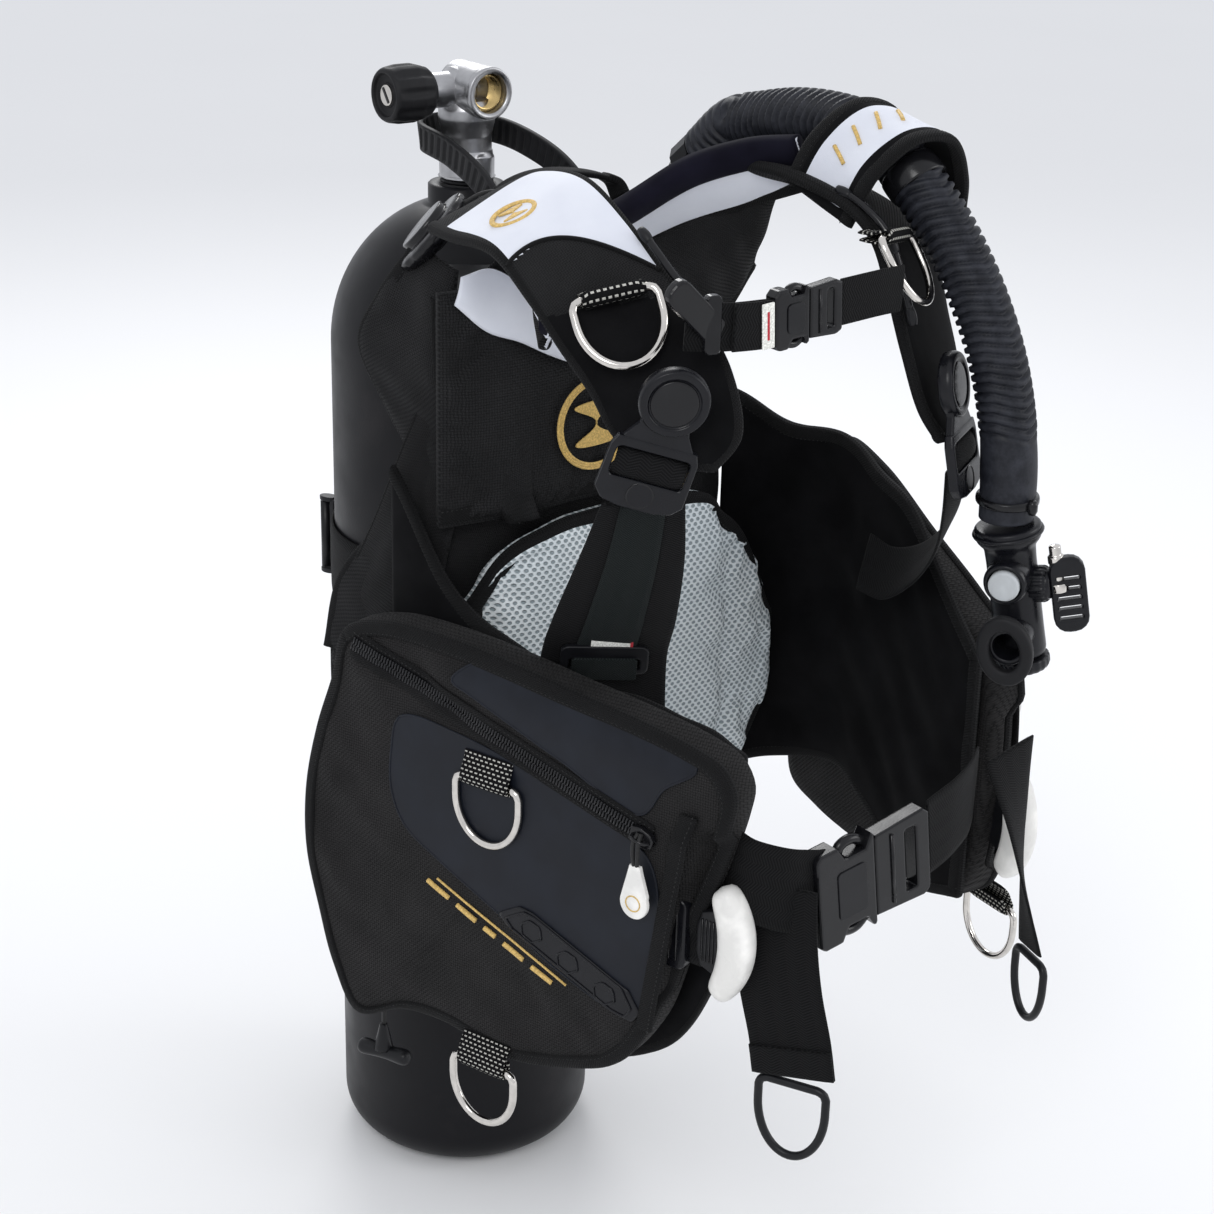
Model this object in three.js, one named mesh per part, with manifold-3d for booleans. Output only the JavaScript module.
// A diver's buoyancy jacket strapped to a steel breathing-gas cylinder with its valve.
// Millimetres, +Z up. The origin is the centre of the cylinder's base. The wearer faces -Y, so the
// wearer's right side is at -X and the left side, with the inflator hose, is at +X.
import * as THREE from "three";
import { mergeVertices } from "three/addons/utils/BufferGeometryUtils.js";
import Module from "manifold-3d";

const wasm = await Module();
wasm.setup();

// ---------------------------------------------------------------- driving dimensions
const GAP = 0.4; // between pieces that touch

const CYLINDER_R = 85.5;
const CYLINDER_WALL = 5;
const CYLINDER_TOP = 670; // top face of the neck
const BASE_R = 62; // flat foot under the rounded edge
const BASE_EDGE = 28; // height of the rounded edge
const DOME_START = 570;
const DOME_RISE = 92;
const NECK_R = 24;
const NECK_BORE_R = 12.8;

const VALVE_Z = 728; // height of the cross barrel
const VALVE_SKIRT_R = 18;
const OUTLET_R = 15;
const OUTLET_BORE_R = 12.5;
const OUTLET_FRONT = -24; // Y of the outlet's face
const KNOB_R = 17.5;
const KNOB_START = 28; // distance from the cylinder axis to the knob's inner end
const KNOB_LENGTH = 31;
const SPINDLE_R = 4;

const BAND_Z = 425; // middle of the tank band
const BAND_HEIGHT = 50;
const BAND_THICKNESS = 2.6;

const PLATE_FRONT = -104; // front face of the backplate
const PLATE_HALF_WIDTH = 70;
const PLATE_BOTTOM = 320;
const PLATE_TOP = 640;

const STRAP_50 = 50; // waist webbing width
const STRAP_25 = 25; // chest webbing width
const WEBBING = 2.4; // webbing thickness

const POCKET_DEPTH = 34;
const WING_THICKNESS = 11;

const HOSE_R = 16;

// ---------------------------------------------------------------- materials
const material = (color, roughness, metalness = 0) =>
  new THREE.MeshStandardMaterial({ color, roughness, metalness });
const mat = {
  tank: material(0x17171c, 0.45, 0.3),
  chrome: material(0xa9acb0, 0.28, 1),
  steel: material(0xb9b4ab, 0.2, 1),
  brass: material(0xb08d4a, 0.35, 1),
  rubber: material(0x15151a, 0.7),
  plastic: material(0x16171b, 0.35),
  fabric: material(0x111113, 0.9),
  pocket: material(0x24272f, 0.75),
  white: material(0xe8ebf2, 0.8),
  mesh: material(0xe4edf2, 0.85),
  whitePlastic: material(0xf2f1ee, 0.35),
  webbing: material(0x141416, 0.85),
  grey: material(0xb9bdc0, 0.4),
  hose: material(0x2a2c33, 0.6),
};

const apparatus = new THREE.Group();

// ---------------------------------------------------------------- helpers
const v3 = (x, y, z) => new THREE.Vector3(x, y, z);
const points = (rows) => rows.map(([x, y, z]) => v3(x, y, z));
const smooth = (rows) => new THREE.CatmullRomCurve3(points(rows), false, "centripetal");
const lerp = THREE.MathUtils.lerp;

// A value that runs smoothly through a short list, for t from 0 to 1.
function through(values) {
  const curve = smooth(values.map((v, i) => [i, v, 0]));
  return (t) => curve.getPoint(t).y;
}

function add(name, geometry, kind, parent = apparatus) {
  const mesh = new THREE.Mesh(geometry, mat[kind]);
  mesh.name = name;
  parent.add(mesh);
  return mesh;
}

// A group whose own X and Y lie along two given directions, at a place. Z completes the frame.
function frameAt(place, xDirection, yDirection) {
  const x = v3(...xDirection).normalize();
  const z = x.clone().cross(v3(...yDirection)).normalize();
  const y = z.clone().cross(x);
  const group = new THREE.Group();
  group.matrix.makeBasis(x, y, z).setPosition(v3(...place));
  group.matrix.decompose(group.position, group.quaternion, group.scale);
  apparatus.add(group);
  return group;
}

function solid(geometry) {
  const g = geometry.clone();
  g.deleteAttribute("normal");
  g.deleteAttribute("uv");
  const merged = mergeVertices(g, 1e-3);
  const mesh = new wasm.Mesh({
    numProp: 3,
    vertProperties: new Float32Array(merged.attributes.position.array),
    triVerts: new Uint32Array(merged.index.array),
  });
  mesh.merge();
  return new wasm.Manifold(mesh);
}

function geometryOf(manifold) {
  const mesh = manifold.getMesh();
  const g = new THREE.BufferGeometry();
  g.setAttribute("position", new THREE.BufferAttribute(new Float32Array(mesh.vertProperties), 3));
  g.setIndex(new THREE.BufferAttribute(new Uint32Array(mesh.triVerts), 1));
  return g;
}

const cut = (whole, ...tools) =>
  geometryOf(tools.reduce((left, tool) => left.subtract(solid(tool)), solid(whole)));
const join = (first, ...rest) =>
  geometryOf(rest.reduce((sum, piece) => sum.add(solid(piece)), solid(first)));

const boxAt = (w, d, h, x, y, z) => new THREE.BoxGeometry(w, d, h).translate(x, y, z);

// A round bar between two points.
function rod(from, to, radius, sides = 16, endRadius = radius) {
  const a = v3(...from);
  const b = v3(...to);
  const g = new THREE.CylinderGeometry(endRadius, radius, a.distanceTo(b), sides);
  const turn = new THREE.Quaternion().setFromUnitVectors(v3(0, 1, 0), b.clone().sub(a).normalize());
  return g.applyQuaternion(turn).translate(...a.add(b).multiplyScalar(0.5).toArray());
}

// A closed skin from two matching grids of points: the outer face and the inner face.
function skin(outer, inner) {
  const rows = outer.length;
  const columns = outer[0].length;
  const position = [];
  const index = [];
  for (const grid of [outer, inner]) {
    for (const row of grid) row.forEach((p) => position.push(p.x, p.y, p.z));
  }
  const at = (face, i, j) => face * rows * columns + i * columns + j;
  const quad = (a, b, c, d) => index.push(a, b, c, a, c, d);
  for (let i = 0; i < rows - 1; i++) {
    for (let j = 0; j < columns - 1; j++) {
      quad(at(0, i, j), at(0, i + 1, j), at(0, i + 1, j + 1), at(0, i, j + 1));
      quad(at(1, i, j), at(1, i, j + 1), at(1, i + 1, j + 1), at(1, i + 1, j));
    }
  }
  for (let i = 0; i < rows - 1; i++) {
    quad(at(0, i, 0), at(1, i, 0), at(1, i + 1, 0), at(0, i + 1, 0));
    const end = columns - 1;
    quad(at(0, i, end), at(0, i + 1, end), at(1, i + 1, end), at(1, i, end));
  }
  for (let j = 0; j < columns - 1; j++) {
    quad(at(0, 0, j), at(0, 0, j + 1), at(1, 0, j + 1), at(1, 0, j));
    const last = rows - 1;
    quad(at(0, last, j), at(1, last, j), at(1, last, j + 1), at(0, last, j + 1));
  }
  const g = new THREE.BufferGeometry();
  g.setAttribute("position", new THREE.Float32BufferAttribute(position, 3));
  g.setIndex(index);
  return solid(g).volume() < 0 ? turnedOut(g) : g;
}

function turnedOut(g) {
  const index = g.index.array;
  for (let i = 0; i < index.length; i += 3) {
    [index[i + 1], index[i + 2]] = [index[i + 2], index[i + 1]];
  }
  return g;
}

// A ribbon along a 3-D path. across gives the width direction and width its size, both for t from
// 0 to 1.
function ribbon(path, across, width, thickness, steps, columns = 1) {
  const curve = smooth(path);
  const outer = [];
  const inner = [];
  for (let i = 0; i <= steps; i++) {
    const t = i / steps;
    const centre = curve.getPointAt(t);
    const tangent = curve.getTangentAt(t);
    const w = v3(...across(t));
    w.addScaledVector(tangent, -w.dot(tangent)).normalize();
    const n = tangent.clone().cross(w).normalize();
    const half = width(t) / 2;
    const thick = thickness(t) / 2;
    const rowOut = [];
    const rowIn = [];
    for (let j = 0; j <= columns; j++) {
      const p = centre.clone().addScaledVector(w, lerp(-half, half, j / columns));
      const crown = columns > 1 ? 0.55 + 0.45 * Math.sin((Math.PI * j) / columns) : 1;
      rowOut.push(p.clone().addScaledVector(n, thick * crown));
      rowIn.push(p.clone().addScaledVector(n, -thick * crown));
    }
    outer.push(rowOut);
    inner.push(rowIn);
  }
  return skin(outer, inner);
}

// A padded strip between two edge lines that run side by side.
function between(edgeA, edgeB, thickness, steps, columns = 4) {
  const a = smooth(edgeA);
  const b = smooth(edgeB);
  const outer = [];
  const inner = [];
  for (let i = 0; i <= steps; i++) {
    const t = i / steps;
    const from = a.getPointAt(t);
    const to = b.getPointAt(t);
    const along = a.getTangentAt(t).add(b.getTangentAt(t));
    const n = along.cross(to.clone().sub(from)).normalize();
    const rowOut = [];
    const rowIn = [];
    for (let j = 0; j <= columns; j++) {
      const p = from.clone().lerp(to, j / columns);
      const crown = columns > 1 ? 0.55 + 0.45 * Math.sin((Math.PI * j) / columns) : 1;
      rowOut.push(p.clone().addScaledVector(n, (thickness / 2) * crown));
      rowIn.push(p.clone().addScaledVector(n, (-thickness / 2) * crown));
    }
    outer.push(rowOut);
    inner.push(rowIn);
  }
  return skin(outer, inner);
}

// An upright wall over a plan path [x, y], between a bottom and a top height, with a thickness at t.
function wall(plan, bottom, top, thickness, steps, columns = 2) {
  const curve = smooth(plan.map(([x, y]) => [x, y, 0]));
  const low = through(bottom);
  const high = through(top);
  const thick = through(thickness);
  const outer = [];
  const inner = [];
  for (let i = 0; i <= steps; i++) {
    const t = i / steps;
    const p = curve.getPointAt(t);
    const tangent = curve.getTangentAt(t);
    const n = v3(tangent.y, -tangent.x, 0).normalize();
    const rowOut = [];
    const rowIn = [];
    for (let j = 0; j <= columns; j++) {
      const crown = 0.6 + 0.4 * Math.sin((Math.PI * j) / columns);
      const z = lerp(low(t), high(t), j / columns);
      rowOut.push(v3(p.x, p.y, z).addScaledVector(n, (thick(t) / 2) * crown));
      rowIn.push(v3(p.x, p.y, z).addScaledVector(n, (-thick(t) / 2) * crown));
    }
    outer.push(rowOut);
    inner.push(rowIn);
  }
  return skin(outer, inner);
}

function outline(corners) {
  const shape = new THREE.Shape();
  corners.forEach(([x, y], i) => (i ? shape.lineTo(x, y) : shape.moveTo(x, y)));
  shape.closePath();
  return shape;
}

function roundedRectangle(w, h, r, x = 0, y = 0, kind = THREE.Shape) {
  const s = new kind();
  s.moveTo(x - w / 2 + r, y - h / 2);
  s.lineTo(x + w / 2 - r, y - h / 2);
  s.absarc(x + w / 2 - r, y - h / 2 + r, r, -Math.PI / 2, 0);
  s.lineTo(x + w / 2, y + h / 2 - r);
  s.absarc(x + w / 2 - r, y + h / 2 - r, r, 0, Math.PI / 2);
  s.lineTo(x - w / 2 + r, y + h / 2);
  s.absarc(x - w / 2 + r, y + h / 2 - r, r, Math.PI / 2, Math.PI);
  s.lineTo(x - w / 2, y - h / 2 + r);
  s.absarc(x - w / 2 + r, y - h / 2 + r, r, Math.PI, 1.5 * Math.PI);
  return s;
}

// A flat plate of a shape, its thickness centred on z = 0, with chamfered edges.
function plate(shape, thickness, chamfer = 0, curveSegments = 4) {
  return new THREE.ExtrudeGeometry(shape, {
    depth: thickness - 2 * chamfer,
    bevelEnabled: chamfer > 0,
    bevelThickness: chamfer,
    bevelSize: chamfer,
    bevelOffset: -chamfer,
    bevelSegments: 1,
    curveSegments,
  }).translate(0, 0, -thickness / 2 + chamfer);
}

// A D-ring: its bar lies along x at y = 0, and its loop hangs towards -y.
function dRing(width, height, wire) {
  const bow = (inset, kind) => {
    const s = new kind();
    const half = width / 2 - inset;
    const top = wire / 2 - inset;
    const shoulder = -height * 0.3;
    s.moveTo(half, top);
    s.lineTo(-half, top);
    s.lineTo(-half, shoulder);
    s.absellipse(0, shoulder, half, height + shoulder - inset, Math.PI, 2 * Math.PI);
    return s;
  };
  const ring = bow(0, THREE.Shape);
  ring.holes.push(bow(wire, THREE.Path));
  return plate(ring, wire, wire * 0.28, 5);
}

// ---------------------------------------------------------------- cylinder and valve
function cylinder() {
  const profile = [v3(0, 0, 0), v3(BASE_R, 0, 0)];
  const arc = (radius, rise, x0, y0, from, to, steps) => {
    for (let i = 0; i <= steps; i++) {
      const a = lerp(from, to, i / steps);
      profile.push(v3(x0 + radius * Math.cos(a), y0 + rise * Math.sin(a), 0));
    }
  };
  const innerR = CYLINDER_R - CYLINDER_WALL;
  const stop = Math.acos(NECK_R / CYLINDER_R);
  const innerStop = Math.acos(NECK_BORE_R / innerR);
  arc(CYLINDER_R - BASE_R, BASE_EDGE, BASE_R, BASE_EDGE, -Math.PI / 2 + 0.35, 0, 4);
  arc(CYLINDER_R, DOME_RISE, 0, DOME_START, 0, stop, 7);
  profile.push(v3(NECK_R, CYLINDER_TOP, 0), v3(NECK_BORE_R, CYLINDER_TOP, 0));
  arc(innerR, DOME_RISE - CYLINDER_WALL, 0, DOME_START, innerStop, 0, 5);
  profile.push(v3(innerR, 40, 0), v3(BASE_R, 12, 0), v3(0, 12, 0));
  const lathe = new THREE.LatheGeometry(
    profile.map((p) => new THREE.Vector2(p.x, p.y)),
    30,
  );
  add("cylinder", lathe.rotateX(Math.PI / 2), "tank");
}

function valve() {
  const ring = new THREE.TorusGeometry(15.6, 1.3, 6, 16).translate(0, 0, CYLINDER_TOP + 1.3 + GAP);
  add("neck_o_ring", ring, "rubber");

  const flange = CYLINDER_TOP + 2.6 + 2 * GAP;
  const body = join(
    rod([0, 0, CYLINDER_TOP - 32], [0, 0, flange + 1], NECK_BORE_R - 0.6, 16),
    rod([0, 0, flange], [0, 0, flange + 17], VALVE_SKIRT_R, 12),
    rod([0, 0, flange + 16], [0, 0, VALVE_Z], 14, 4, 17),
    rod([8, 0, VALVE_Z], [-KNOB_START + 2, 0, VALVE_Z], 10.5, 16),
    rod([0, 14, VALVE_Z], [0, OUTLET_FRONT, VALVE_Z], OUTLET_R, 8),
    rod([4, 10, flange + 14], [10, 20, flange + 14], 6.5, 12),
  );
  const bores = [
    rod([0, 0, CYLINDER_TOP - 40], [0, 0, VALVE_Z - 14], 3.5, 10),
    rod([0, OUTLET_FRONT + 18, VALVE_Z], [0, OUTLET_FRONT - 4, VALVE_Z], OUTLET_BORE_R, 20),
    rod([-14, 0, VALVE_Z], [-KNOB_START - 4, 0, VALVE_Z], SPINDLE_R + 0.4, 14),
  ];
  add("valve_body", cut(body, ...bores), "chrome");

  const sleeveBore = rod([0, OUTLET_FRONT + 22, VALVE_Z], [0, OUTLET_FRONT - 4, VALVE_Z], 9.5, 20);
  const sleeve = rod(
    [0, OUTLET_FRONT + 18 - GAP, VALVE_Z],
    [0, OUTLET_FRONT + 1, VALVE_Z],
    OUTLET_BORE_R - GAP,
    20,
  );
  add("valve_outlet_insert", cut(sleeve, sleeveBore), "brass");

  const knobProfile = [
    [SPINDLE_R + 1, 0],
    [12.5, 0],
    [15.5, 4],
    [KNOB_R, 12],
    [KNOB_R, 22],
    [15.8, KNOB_LENGTH],
    [12.8, KNOB_LENGTH],
    [12.2, KNOB_LENGTH - 3],
    [SPINDLE_R + 1, KNOB_LENGTH - 3],
    [SPINDLE_R + 1, 0],
  ].map(([x, y]) => new THREE.Vector2(x, y));
  const knob = new THREE.LatheGeometry(knobProfile, 24)
    .rotateZ(Math.PI / 2)
    .translate(-KNOB_START, 0, VALVE_Z);
  const outer = -KNOB_START - KNOB_LENGTH;
  const screw = join(
    rod([-15, 0, VALVE_Z], [outer + 3, 0, VALVE_Z], SPINDLE_R, 14),
    rod([outer + 4, 0, VALVE_Z], [outer + 0.6, 0, VALVE_Z], 6.5, 16),
  );
  const screwSlot = boxAt(3, 16, 1.6, outer + 1, 0, VALVE_Z);
  const wheel = rod([-KNOB_START, 0, VALVE_Z], [outer + 3.5, 0, VALVE_Z], SPINDLE_R + 2, 14);
  add("valve_handwheel", cut(join(knob, wheel, screw), screwSlot), "rubber");
}

// ---------------------------------------------------------------- backpack and tank band
function backpack() {
  const cradle = new THREE.Shape();
  const groove = CYLINDER_R + BAND_THICKNESS + 2;
  const reach = Math.asin(64 / groove);
  cradle.moveTo(-PLATE_HALF_WIDTH, PLATE_FRONT);
  cradle.lineTo(PLATE_HALF_WIDTH, PLATE_FRONT);
  cradle.lineTo(PLATE_HALF_WIDTH, PLATE_FRONT + 8);
  cradle.lineTo(68, PLATE_FRONT + 36);
  cradle.absarc(0, 0, groove, -Math.PI / 2 + reach, -Math.PI / 2 - reach, true);
  cradle.lineTo(-68, PLATE_FRONT + 36);
  cradle.lineTo(-PLATE_HALF_WIDTH, PLATE_FRONT + 8);
  const board = new THREE.ExtrudeGeometry(cradle, {
    depth: PLATE_TOP - PLATE_BOTTOM,
    bevelEnabled: false,
    curveSegments: 8,
  }).translate(0, 0, PLATE_BOTTOM);
  add("backplate", board, "plastic");

  const inside = CYLINDER_R + GAP;
  const loop = [
    [inside, -BAND_HEIGHT / 2],
    [inside + BAND_THICKNESS, -BAND_HEIGHT / 2],
    [inside + BAND_THICKNESS, BAND_HEIGHT / 2],
    [inside, BAND_HEIGHT / 2],
    [inside, -BAND_HEIGHT / 2],
  ].map(([x, y]) => new THREE.Vector2(x, y));
  const band = new THREE.LatheGeometry(loop, 30).rotateX(Math.PI / 2).translate(0, 0, BAND_Z);
  add("tank_band", band, "webbing");

  // The cam buckle lies on the band behind the cylinder.
  const buckle = frameAt([0, 0, BAND_Z], [-0.42, 0.91, 0], [-0.91, -0.42, 0]);
  const off = CYLINDER_R + BAND_THICKNESS + 2 * GAP + 1.2;
  const base = join(
    boxAt(3.5, 44, 54, off + 1.75, 0, 0),
    boxAt(13, 7, 3.5, off + 6.5, 18, 25.2),
    boxAt(13, 7, 3.5, off + 6.5, 18, -25.2),
  );
  add("cam_buckle_frame", base, "plastic", buckle);
  const cheek = rod([off + 9, 18, -23], [off + 9, 18, 23], 3.4, 12);
  const lever = join(cheek, boxAt(4, 62, 44, off + 9, -12.5, 0), boxAt(6, 5, 44, off + 8, -41, 0));
  add("cam_buckle_lever", lever, "plastic", buckle);

  // The ribbed rubber strap loops round the valve's base and holds the jacket at its height.
  const neck = ribbon(
    [
      [-32, -98, 652],
      [-31, -66, 682],
      [-29, -26, 695],
      [-24, 14, 699],
      [0, 30, 700],
      [24, 14, 699],
      [29, -26, 695],
      [31, -66, 682],
      [32, -98, 652],
    ],
    () => [0, 0.2, 1],
    () => 19,
    () => 3,
    28,
  );
  add("neck_strap", neck, "rubber");

  const handle = ribbon(
    [
      [-46, -107, 678],
      [-42, -99, 694],
      [-20, -90, 706],
      [12, -90, 706],
      [36, -99, 694],
      [40, -107, 678],
    ],
    () => [0, 1, 0],
    () => 18,
    () => 4,
    14,
  );
  add("carry_handle", handle, "webbing");

  const dump = frameAt([-82, -88, 666], [0.6, 0.8, 0.02], [0.4, -0.3, 0.6]);
  const capProfile = [
    [0, -8],
    [17, -8],
    [17, -3],
    [28, -2],
    [28, 3],
    [20, 8],
    [0, 9],
  ].map(([x, y]) => new THREE.Vector2(x, y));
  const cap = new THREE.LatheGeometry(capProfile, 24).rotateX(Math.PI / 2);
  add("right_dump_valve", cap, "plastic", dump);
}

// ---------------------------------------------------------------- jacket body
function jacketBack() {
  // The air cell's back panel, from the yoke down to the lumbar hem.
  const cell = wall(
    [
      [-126, -42],
      [-116, -66],
      [-106, -91],
      [-87, -108],
      [-66, -113],
      [0, -112.5],
      [48, -112],
      [96, -108.5],
      [128, -96],
    ],
    [300, 236, 232, 230, 230, 230, 230, 232, 236],
    [430, 500, 590, 650, 668, 670, 668, 640, 560],
    [7, 9, 11, 13, 13, 13, 13, 12, 9],
    18,
    4,
  );
  add("air_cell", cell, "fabric");

  const upper = wall(
    [
      [-100, -122],
      [-50, -127.5],
      [0, -128],
      [50, -127.5],
      [100, -122],
    ],
    [500, 500, 502, 500, 500],
    [640, 640, 636, 640, 640],
    [8, 14, 15, 14, 8],
    8,
    3,
  );
  add("upper_back_pad", upper, "fabric");

  const lumbar = wall(
    [
      [-90, -131],
      [-50, -137],
      [0, -138],
      [50, -138],
      [110, -137],
      [146, -131],
    ],
    [300, 280, 270, 272, 288, 340],
    [476, 487, 493, 495, 485, 408],
    [14, 30, 32, 32, 26, 10],
    12,
    4,
  );
  add("lumbar_pad", lumbar, "mesh");

  const collar = ribbon(
    [
      [-100, -232, 644],
      [-84, -206, 660],
      [-54, -175, 666],
      [0, -156, 668],
      [44, -164, 677],
      [70, -194, 675],
      [80, -222, 678],
    ],
    () => [0, -0.5, 0.86],
    through([26, 36, 46, 50, 50, 40, 24]),
    () => 10,
    16,
    2,
  );
  add("collar", collar, "white");
}

function shoulders() {
  const rightOuter = [
    [-112, -133, 680],
    [-118, -163, 682],
    [-122, -210, 684],
    [-118, -237, 665],
    [-112, -259, 642],
    [-106, -278, 622],
    [-101, -289, 604],
    [-92, -302, 588],
  ];
  const rightInner = [
    [-60, -140, 700],
    [-59, -171, 712],
    [-58, -206, 714],
    [-56, -240, 697],
    [-54, -271, 676],
    [-51, -297, 659],
    [-48, -318, 636],
    [-50, -331, 604],
    [-60, -324, 586],
  ];
  const pad = 12;
  addPad("right", between(rightOuter, rightInner, pad, 14));
  const leftInner = [
    [60, -140, 700],
    [61, -172, 706],
    [62, -210, 710],
    [63, -242, 708],
    [67, -276, 699],
    [71, -293, 685],
    [76, -303, 657],
    [81, -312, 626],
    [90, -320, 592],
    [100, -326, 574],
  ];
  const leftOuter = [
    [116, -136, 684],
    [118, -170, 690],
    [121, -206, 692],
    [124, -236, 690],
    [130, -262, 678],
    [134, -276, 658],
    [137, -284, 632],
    [138, -294, 604],
    [132, -302, 582],
    [120, -316, 570],
  ];
  addPad("left", between(leftInner, leftOuter, pad, 14));
}

// ---------------------------------------------------------------- side panels and pockets
// Each pocket has a flat outer face. s runs forwards along it from its back edge, z is up, and depth
// runs inwards from that face.
const SIDES = {
  right: {
    origin: [-158, -102],
    along: [0.3116, -0.9502],
    out: [-0.9502, -0.3116],
    edge: [
      [-34, 250],
      [-20, 212],
      [2, 186],
      [60, 192],
      [120, 198],
      [180, 204],
      [222, 236],
      [272, 410],
      [262, 428],
      [200, 440],
      [110, 449],
      [12, 456],
      [-22, 396],
      [-34, 330],
    ],
    pouch: { from: 90, to: 230, low: 284, high: 352 },
    handle: 264,
    zip: { from: [14, 436], to: [222, 378] },
    rings: [
      [114, 378],
      [112, 190],
    ],
  },
  left: {
    origin: [218, -112],
    along: [-0.08, -0.9968],
    out: [0.9968, -0.08],
    edge: [
      [10, 262],
      [90, 244],
      [160, 244],
      [196, 262],
      [210, 330],
      [208, 380],
      [190, 428],
      [110, 470],
      [60, 500],
      [16, 506],
    ],
    pouch: { from: 60, to: 186, low: 280, high: 346 },
    handle: 218,
    zip: { from: [30, 482], to: [180, 412] },
    rings: [[186, 240]],
  },
};
const POUCH_NEAR = 7; // depth of the weight pouch's outer face
const POUCH_FAR = 27;
const HANDLE_HEIGHT = 76;
const RING = { width: 50, height: 42, wire: 4.6 };
const RING_STAND_OFF = 2.8; // from the pocket's face to the middle of the ring's wire
const TAB_WIDTH = 34;

const sideFrame = (side) => frameAt([...SIDES[side].origin, 0], [...SIDES[side].along, 0], [0, 0, 1]);
const outwards = (side) => (side === "right" ? 1 : -1);

// The plan point behind a pocket at s, where its side panel's middle runs.
function behindPocket(side, s) {
  const { origin, along, out } = SIDES[side];
  const depth = POCKET_DEPTH + WING_THICKNESS / 2 + 1.2;
  return [0, 1].map((i) => origin[i] + along[i] * s - out[i] * depth);
}

function sidePanels() {
  const right = wall(
    [10, 50, 90, 140, 200, 258].map((at) => behindPocket("right", at)),
    [205, 196, 190, 196, 216, 300],
    [570, 520, 462, 441, 434, 418],
    [8, 10, 11, 11, 11, 10],
    14,
    3,
  );
  add("right_side_panel", right, "fabric");
  const left = wall(
    [
      [133.5, -97],
      [149, -112],
      behindPocket("left", 70),
      behindPocket("left", 100),
      behindPocket("left", 150),
      behindPocket("left", 204),
    ],
    [270, 290, 300, 280, 250, 262],
    [540, 525, 520, 505, 470, 420],
    [8, 10, 11, 11, 11, 10],
    16,
    4,
  );
  add("left_side_panel", left, "fabric");
}

// A crescent grip: a strip of varying width along an arc, bulging forwards.
function crescent(height, start) {
  const radius = height * 0.72;
  const reach = Math.asin(height / 2 / radius) * 0.86;
  const steps = 8;
  const side = (sign) =>
    Array.from({ length: steps + 1 }, (_, i) => {
      const a = lerp(-reach, reach, i / steps);
      const half = 7 + 3.5 * Math.cos((a / reach) * (Math.PI / 2));
      const r = radius + sign * half;
      return [start + 9 - radius + r * Math.cos(a), r * Math.sin(a)];
    });
  return outline([...side(1), ...side(-1).reverse()]);
}

function pocket(side) {
  const { edge, pouch: size, handle, zip, rings } = SIDES[side];
  const group = sideFrame(side);
  const out = outwards(side);
  const body = plate(outline(edge), POCKET_DEPTH, 4).translate(0, 0, (-out * POCKET_DEPTH) / 2);
  const room = GAP + 0.6;
  const middle = (size.high + size.low) / 2;
  const deep = (-out * (POUCH_NEAR + POUCH_FAR)) / 2;
  const sleeve = boxAt(
    400,
    size.high - size.low + 2 * room,
    POUCH_FAR - POUCH_NEAR + 2 * room,
    size.from - room + 200,
    middle,
    deep,
  );
  const slotReach = RING.wire / 2 + 0.5;
  const barDepth = out * RING_STAND_OFF;
  const tabs = rings.map(([s, z]) => boxAt(TAB_WIDTH, 20, 10, s, z + 5, barDepth / 2));
  const eyes = rings.map(([s, z]) => rod([s - 30, z, barDepth], [s + 30, z, barDepth], slotReach, 8));
  const bedding = rings.map(([s, z]) => boxAt(RING.width + 8, 14, 12, s, z - 1, barDepth));
  const withRoom = cut(body, sleeve, ...bedding);
  add(side + "_pocket", cut(join(withRoom, ...tabs), ...eyes), "pocket", group);

  const pouch = boxAt(
    size.to - size.from,
    size.high - size.low,
    POUCH_FAR - POUCH_NEAR,
    (size.from + size.to) / 2,
    middle,
    deep,
  );
  const stem = boxAt(handle - size.to + 12, 40, 6, (size.to + handle) / 2 + 2, middle, deep);
  const grip = plate(crescent(HANDLE_HEIGHT, handle), 20, 3).translate(0, middle, deep);
  add(side + "_weight_pouch", join(pouch, stem, grip), "whitePlastic", group);

  rings.forEach(([s, z], i) => {
    const ring = dRing(RING.width, RING.height, RING.wire).translate(s, z, barDepth);
    add(side + (rings.length - i === 1 ? "_hem_ring" : "_pocket_ring"), ring, "steel", group);
  });

  // The zip slider rides on the face, and its pull tag hangs from it.
  const [s0, z0] = zip.from;
  const [s1, z1] = zip.to;
  const slope = Math.atan2(z1 - z0, s1 - s0);
  const slider = boxAt(13, 10, 5, 0, 0, out * 4.4).rotateZ(slope).translate(s1, z1, 0);
  add(side + "_zip_slider", slider, "plastic", group);
  const drop = new THREE.Shape();
  drop.moveTo(-3, 0);
  drop.lineTo(3, 0);
  drop.lineTo(8.5, -16);
  drop.absarc(0, -27, 9, 0.15, -Math.PI - 0.15, true);
  drop.lineTo(-3, 0);
  const cord = boxAt(3, 18, 3, 0, -8, 0);
  const tag = join(plate(drop, 4, 0, 5).translate(0, -15, 0), cord);
  add(side + "_zip_tag", tag.translate(s1, z1 - 2, out * 9.6), "whitePlastic", group);
}

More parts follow.
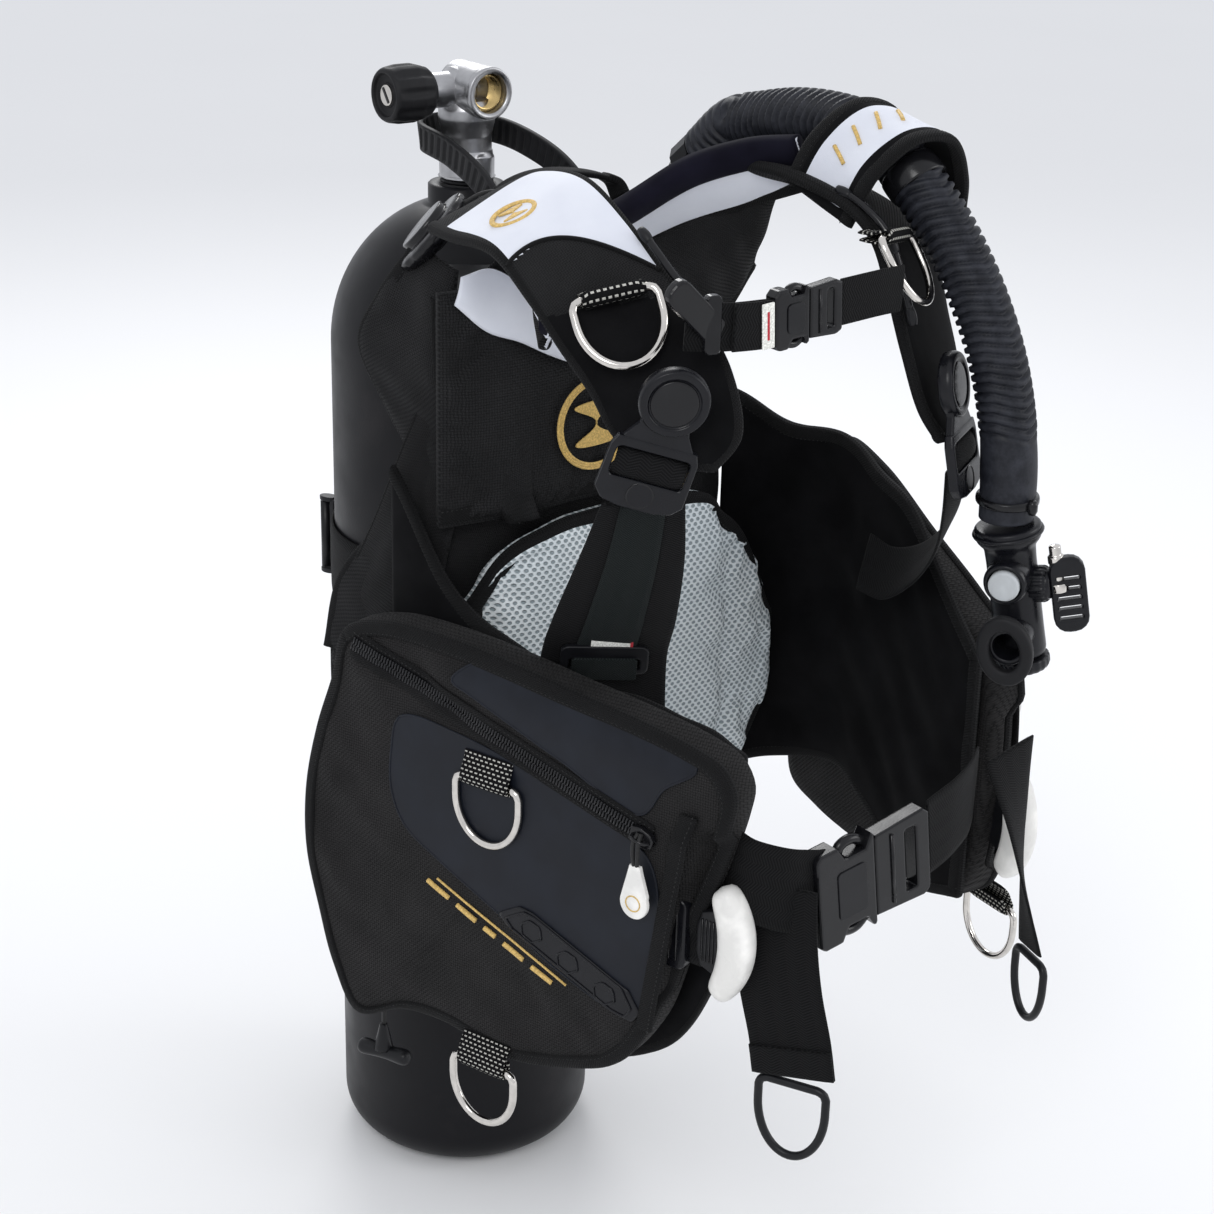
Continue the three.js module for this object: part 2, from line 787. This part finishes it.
// ---------------------------------------------------------------- shoulder fittings
const SHOULDERS = {
  right: {
    ring: { at: [-84, -264, 665], across: [0.88, -0.42, 0.2], down: [0.13, -0.69, -0.71] },
    swivel: { at: [-87.4, -322.1, 628.2], across: [0.774, -0.427, -0.268], down: [-0.362, 0.358, -0.933] },
    strapOuter: [
      [-105, -287, 565],
      [-101, -262, 525],
      [-96, -232, 479],
      [-92, -217, 455],
    ],
    strapInner: [
      [-69, -312, 566],
      [-56, -297, 527],
      [-42, -274, 481],
      [-33, -256, 452],
    ],
  },
  left: {
    ring: { at: [72, -293.5, 681.5], across: [0.86, 0.42, -0.12], down: [0.1, -0.56, -0.82] },
    swivel: { at: [103, -325, 606], across: [0.86, 0.5, 0], down: [0.12, -0.16, -0.97] },
    strapOuter: [
      [102, -330, 556],
      [104, -328, 530],
      [116, -312, 500],
      [130, -282, 468],
      [136, -250, 446],
      [138, -226, 444],
    ],
    strapInner: [
      [122, -322, 560],
      [132, -314, 532],
      [144, -292, 506],
      [150, -266, 484],
      [152, -240, 474],
      [153, -220, 476],
    ],
  },
};

// A shoulder pad with the sewn tab that carries its ring.
function addPad(side, pad) {
  const { ring } = SHOULDERS[side];
  const frame = frameAt(ring.at, ring.across, ring.down.map((value) => -value));
  const tab = boxAt(TAB_WIDTH, 20, 17, 0, 4, 7.5).applyMatrix4(frame.matrix);
  const eye = rod([-18, 0, 12], [18, 0, 12], RING.wire / 2 + 0.5, 8).applyMatrix4(frame.matrix);
  add(side + "_shoulder_pad", cut(join(pad, tab), eye), "fabric");
}

function shoulderFittings(side) {
  const { ring, swivel, strapOuter, strapInner } = SHOULDERS[side];
  const up = ring.down.map((value) => -value);
  const ringFrame = frameAt(ring.at, ring.across, up);
  const bow = dRing(RING.width, RING.height, RING.wire).translate(0, 0, 12);
  add(side + "_shoulder_ring", bow, "steel", ringFrame);

  const upright = swivel.down.map((value) => -value);
  const swivelFrame = frameAt(swivel.at, swivel.across, upright);
  const disc = rod([0, 0, 0], [0, 0, 8], 18, 20);
  const arm = boxAt(24, 20, 5, 0, -23, 3.5);
  const frame = roundedRectangle(54, 32, 4, 0, -46);
  for (const y of [-38, -47]) frame.holes.push(roundedRectangle(43, 6, 2, 0, y, THREE.Path));
  const ladder = plate(frame, 5, 0, 2).translate(0, 0, 3.5);
  add(side + "_swivel_buckle", join(disc, arm, ladder), "plastic", swivelFrame);

  const webbing = between(strapOuter, strapInner, WEBBING, 12, 1);
  add(side + "_shoulder_webbing", webbing, "webbing");
}

// ---------------------------------------------------------------- hose and inflator
const HOSE_PATH = [
  [96, -116, 700],
  [98, -138, 719],
  [100, -162, 726],
  [101, -190, 732],
  [103, -216, 734],
  [105, -242, 732],
  [108, -266, 722],
  [111, -290, 703],
  [115, -312, 678],
  [119, -331, 648],
  [123, -344, 616],
  [126, -351, 584],
  [128, -353, 556],
  [129, -353, 532],
];
const INFLATOR = { at: [136, -358, 488], up: [-0.16, 0.1, 0.98], mouth: [-0.83, -0.5, 0] };

function hose() {
  const path = smooth(HOSE_PATH);
  const centre = Array.from({ length: 37 }, (_, i) => path.getPointAt(i / 36));
  const circle = new THREE.Shape().absarc(0, 0, HOSE_R, 0, 2 * Math.PI);
  const tube = new THREE.ExtrudeGeometry(circle, {
    steps: 36,
    extrudePath: new THREE.CatmullRomCurve3(centre, false, "centripetal"),
    curveSegments: 5,
    bevelEnabled: false,
  });
  add("inflator_hose", tube, "hose");
  const tip = smooth(HOSE_PATH).getTangentAt(0);
  const start = HOSE_PATH[0].map((value, i) => value - tip.getComponent(i) * 3 * GAP);
  const foot = start.map((value, i) => value - tip.getComponent(i) * 16);
  const root = [foot[0], foot[1] + 2, foot[2] - 24];
  add("hose_elbow", join(rod(foot, start, HOSE_R, 14), rod(foot, root, HOSE_R - 2, 12)), "plastic");

  // The padded saddle arches over the hose and holds it on the shoulder.
  const saddlePath = [
    [63, -229, 720],
    [74, -238, 745],
    [96, -247, 757],
    [118, -250, 751],
    [132, -247, 730],
    [137, -242, 706],
  ];
  const saddle = ribbon(saddlePath, () => [0.1, -0.92, -0.34], () => 56, () => 4, 12);
  add("shoulder_saddle", saddle, "white");
}

function inflator() {
  const up = v3(...INFLATOR.up).normalize();
  const mouth = v3(...INFLATOR.mouth);
  mouth.addScaledVector(up, -mouth.dot(up)).normalize();
  const across = up.clone().cross(mouth);
  const group = frameAt(INFLATOR.at, mouth.toArray(), across.toArray());
  const barrel = rod([0, 0, -40], [0, 0, 34], 14, 16);
  const flange = rod([0, 0, 32], [0, 0, 41], 19, 18);
  const mouthTube = rod([0, 0, -22], [30, 0, -22], 10.5, 14);
  const buttonBoss = rod([0, 0, 12], [21, 0, 12], 12.5, 16);
  const sideBoss = rod([0, 0, 4], [0, 22, 4], 9, 12);
  const body = join(barrel, flange, mouthTube, buttonBoss, sideBoss);
  const throat = rod([2, 0, -22], [34, 0, -22], 7.5, 14);
  const well = rod([12, 0, 12], [24, 0, 12], 9.4, 16);
  add("inflator_body", cut(body, throat, well), "plastic", group);
  add("inflate_button", rod([15, 0, 12], [23.5, 0, 12], 8.8, 16), "grey", group);
  add("inflator_end_cap", rod([0, 0, -40 - GAP], [0, 0, -48], 15.5, 16), "plastic", group);
  const mouthShape = new THREE.Shape().absellipse(0, 0, 16, 21, 0, 2 * Math.PI);
  mouthShape.holes.push(new THREE.Path().absellipse(0, 0, 8, 11, 0, 2 * Math.PI, true));
  const mouthpiece = plate(mouthShape, 7, 2, 5).rotateY(Math.PI / 2);
  mouthpiece.translate(30 + GAP + 3.5, 0, -22);
  add("inflator_mouthpiece", mouthpiece, "rubber", group);
  const collarNut = rod([0, 22 + GAP, 4], [0, 28, 4], 6, 12);
  const nipple = join(collarNut, rod([0, 26.6, 2], [0, 26.6, 28], 4, 12));
  add("inflator_nipple", nipple, "steel", group);
  const paddle = plate(roundedRectangle(20, 46, 8), 6, 1.5).rotateX(Math.PI / 2);
  add("inflator_paddle", paddle.translate(-2, 36, -2), "plastic", group);
}

// ---------------------------------------------------------------- chest and waist straps
function buckle(name, at, across, up, width, height, thickness) {
  const group = frameAt(at, across, up);
  const half = width / 2;
  // The female half is a flat housing with a mouth that the male half's prongs enter.
  const housing = plate(roundedRectangle(half, height, 4, -half / 2, 0), thickness, 1);
  const mouth = boxAt(half - 6, height - 12, thickness * 0.5, -half / 2 + 6, 0, 0);
  add(name + "_female", cut(housing, mouth), "plastic", group);
  const prongs = [-1, 1].map((sign) =>
    boxAt(half - 5, height * 0.16, thickness * 0.32, -half / 2 + 8.5, sign * height * 0.2, 0),
  );
  const rearShape = roundedRectangle(half - 0.6, height - 6, 3, half / 2 + 0.3, 0);
  const rear = plate(rearShape, thickness * 0.8, 1);
  add(name + "_male", join(rear, ...prongs), "plastic", group);
}

function straps() {
  const upright = () => [0, 0, 1];
  const rightChest = [
    [-82, -322.5, 665],
    [-62, -331, 664],
    [-36.6, -333, 663],
  ];
  add("right_chest_strap", ribbon(rightChest, upright, () => STRAP_25, () => WEBBING, 8), "webbing");
  buckle("chest_buckle", [-12, -333, 665], [1, 0, 0.06], [-0.06, 0, 1], 46, 32, 9);
  const leftChest = [
    [12, -333, 667],
    [40, -332, 668],
    [60, -328, 667],
  ];
  add("left_chest_strap", ribbon(leftChest, upright, () => STRAP_25, () => WEBBING, 8), "webbing");

  const rightBelt = [
    [-40, -350, 364],
    [-41, -362, 361],
    [-36, -371, 358],
    [-27, -373, 356],
  ];
  add("right_waist_belt", ribbon(rightBelt, upright, () => STRAP_50, () => WEBBING, 10), "webbing");
  buckle("waist_buckle", [24, -372, 346], [0.99, 0, 0.14], [-0.14, 0, 0.99], 84, 62, 13);
  const leftBelt = [
    [68, -372, 356],
    [92, -367, 360],
    [114, -357, 361],
    [134, -342, 358],
  ];
  add("left_waist_belt", ribbon(leftBelt, upright, () => STRAP_50, () => WEBBING, 10), "webbing");

  const rightTail = [
    [-36, -363, 329],
    [-35, -366, 302],
    [-32, -371, 270],
    [-28, -376, 240],
  ];
  const tailAcross = () => [0.45, -0.89, 0];
  add("right_belt_tail", ribbon(rightTail, tailAcross, () => STRAP_50, () => WEBBING, 10), "webbing");
  const leftTail = [
    [144, -358, 386],
    [152, -361, 346],
    [158, -364, 306],
    [164, -366, 274],
    [168, -368, 250],
  ];
  const twist = (t) => [Math.cos(1.3 * t), Math.sin(1.3 * t), 0];
  add("left_belt_tail", ribbon(leftTail, twist, through([40, 32, 28, 26]), () => WEBBING, 12), "webbing");
  const rightRing = frameAt([-28, -376.5, 230], [0.45, -0.89, 0], [0, 0, 1]);
  add("right_tail_ring", dRing(46, 50, 5), "plastic", rightRing);
  const leftRing = frameAt([168.5, -368.5, 244], [0.27, 0.96, 0], [0, 0, 1]);
  add("left_tail_ring", dRing(38, 44, 5), "plastic", leftRing);
}

// The pull of the lower dump valve hangs from the right hem beside the cylinder.
function dumpPull() {
  const cord = rod([-113, -76, 182], [-112, -72, 124], 2.2, 8);
  const bar = rod([-104, -88, 122], [-120, -56, 122], 5, 10);
  add("lower_dump_pull", join(cord, bar, rod([-112, -72, 124], [-112.4, -73, 142], 7, 10, 3)), "plastic");
}

// ---------------------------------------------------------------- build
cylinder();
valve();
backpack();
jacketBack();
shoulders();
sidePanels();
pocket("right");
pocket("left");
shoulderFittings("right");
shoulderFittings("left");
hose();
inflator();
straps();
dumpPull();

export default apparatus;
